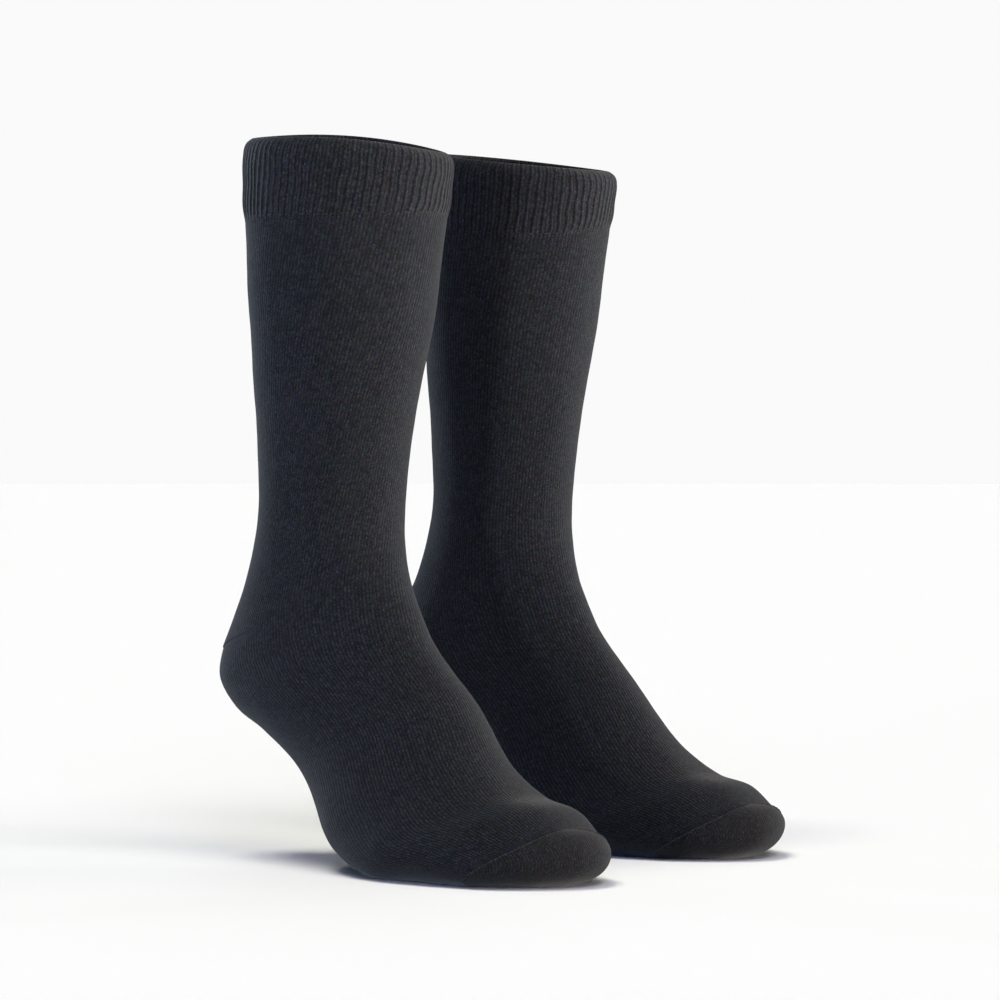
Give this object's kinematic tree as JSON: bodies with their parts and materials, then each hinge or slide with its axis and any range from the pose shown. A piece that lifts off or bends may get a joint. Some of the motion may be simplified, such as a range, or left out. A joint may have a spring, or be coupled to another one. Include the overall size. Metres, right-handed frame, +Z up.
{
  "type": "pair of plain mid-calf socks",
  "caption": "Fine knitted dark mid-calf socks with ribbed cuffs, shaped heels and seamed toes, hollow and filled out as if worn with the heels raised.",
  "frame": {"origin": "midway between the two ankles, 150 mm above the floor under the forefeet, where the wearer's legs hold the pair", "axes": "+Z up the legs, the toes point to -Y, the right sock at -X and the left sock at +X"},
  "size_m": [0.2632, 0.2826, 0.3604],
  "materials": {
    "rib_knit": "dull 1x1 ribbed fine knit, charcoal",
    "plain_knit": "dull fine stockinette, charcoal, slightly fuzzy",
    "pocket_knit": "dull reinforced fine stockinette, charcoal"
  },
  "bodies": {
    "root": {"right_cuff": "rib_knit", "right_leg": "plain_knit", "right_heel": "pocket_knit", "right_foot": "plain_knit", "right_toe": "pocket_knit", "left_cuff": "rib_knit", "left_leg": "plain_knit", "left_heel": "pocket_knit", "left_foot": "plain_knit", "left_toe": "pocket_knit"}
  },
  "joints": []
}
